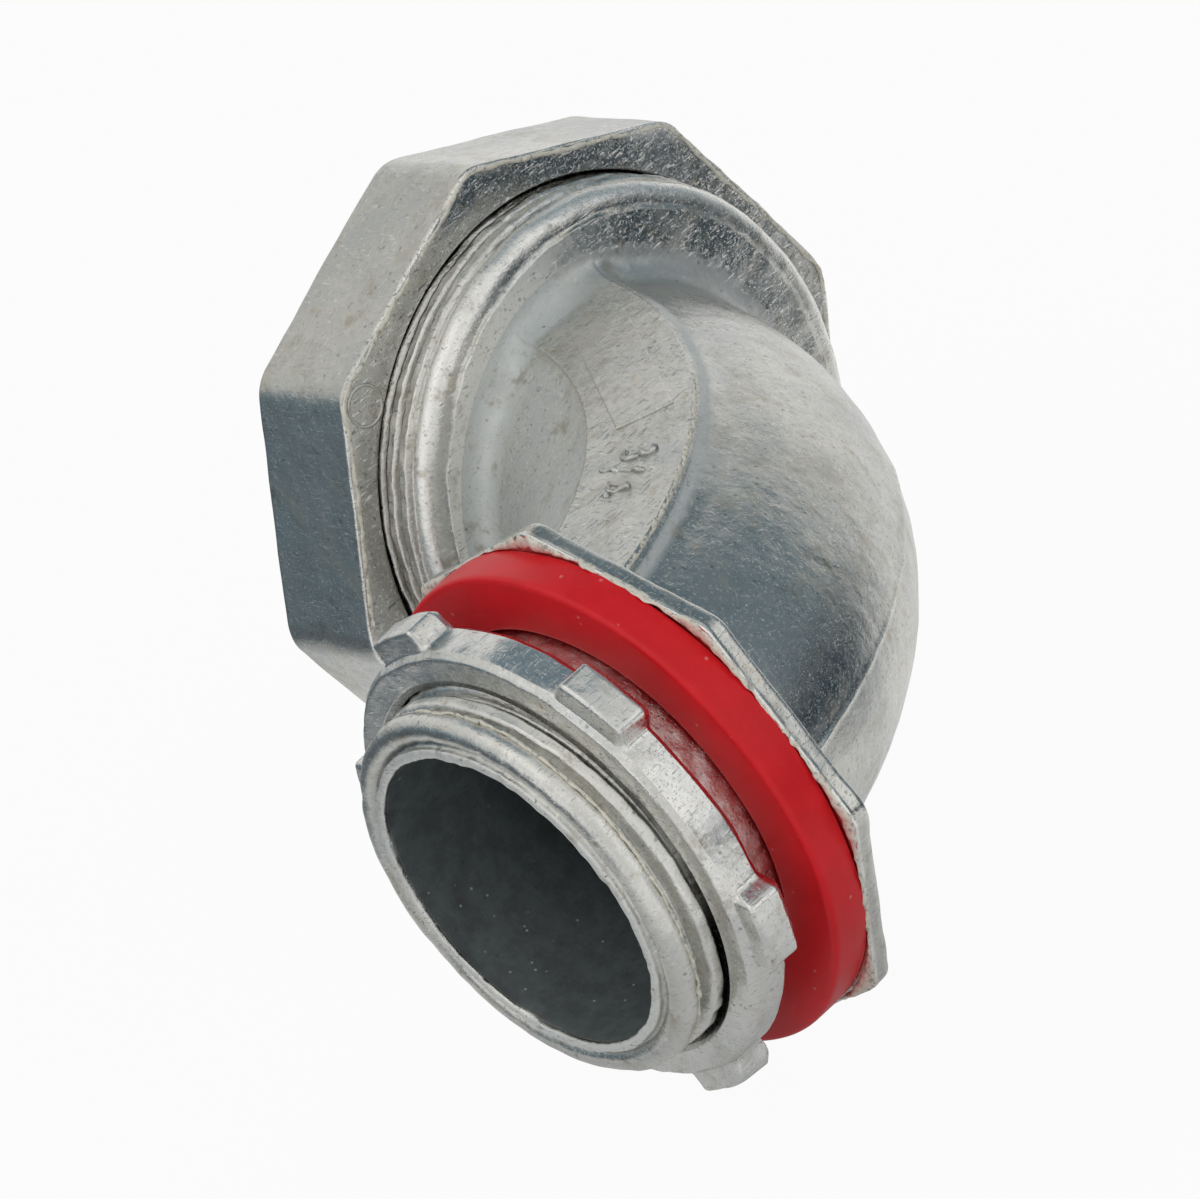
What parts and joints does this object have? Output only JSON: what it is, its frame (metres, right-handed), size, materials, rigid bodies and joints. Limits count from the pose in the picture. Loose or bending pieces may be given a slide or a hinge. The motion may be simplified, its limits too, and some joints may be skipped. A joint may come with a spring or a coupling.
{
  "type": "liquidtight elbow connector",
  "caption": "Right-angle die-cast fitting that joins flexible liquidtight conduit to an enclosure, with a gland nut, sealing washer and locknut.",
  "frame": {"origin": "on the hub axis in the plane of the sealing washer's front face, where the enclosure wall seats", "axes": "-Y out along the hub into the enclosure, -X out along the conduit, +Z out of the flank with the raised plate; the elbow lies on its other flank"},
  "size_m": [0.0663, 0.064, 0.0446],
  "materials": {
    "zinc_cast": "as-cast zinc alloy, satin",
    "zinc_nut": "as-cast zinc alloy, satin",
    "zinc_locknut": "as-cast zinc alloy, satin",
    "plated_steel": "zinc-plated sheet steel",
    "white_nylon": "natural nylon",
    "red_vinyl": "satin moulded vinyl"
  },
  "bodies": {
    "elbow": {"elbow_body": "zinc_cast", "ferrule": "plated_steel"},
    "gland_ring": {"compression_ring": "white_nylon"},
    "gland_nut": {"gland_nut": "zinc_nut"},
    "washer": {"sealing_washer": "red_vinyl"},
    "locknut": {"locknut": "zinc_locknut"}
  },
  "joints": [
    {"name": "gland_travel", "type": "slide", "parent": "elbow", "child": "gland_ring", "axis": [-1, 0, 0], "range_m": [0, 0.00762]},
    {"name": "gland_turn", "type": "hinge", "parent": "gland_ring", "child": "gland_nut", "pos_m": [-0.039, 0.0328, 0], "axis": [-1, 0, 0], "range_deg": [0, 2160]},
    {"name": "locknut_travel", "type": "slide", "parent": "elbow", "child": "washer", "axis": [0, -1, 0], "range_m": [0, 0.00635]},
    {"name": "locknut_turn", "type": "hinge", "parent": "washer", "child": "locknut", "pos_m": [0, -0.004, 0], "axis": [0, -1, 0], "range_deg": [0, 1260]}
  ],
  "couplings": [
    {"joint": "gland_travel", "follows": "gland_turn", "m_per_rad": 0.00020213},
    {"joint": "locknut_travel", "follows": "locknut_turn", "m_per_rad": 0.00028875}
  ]
}
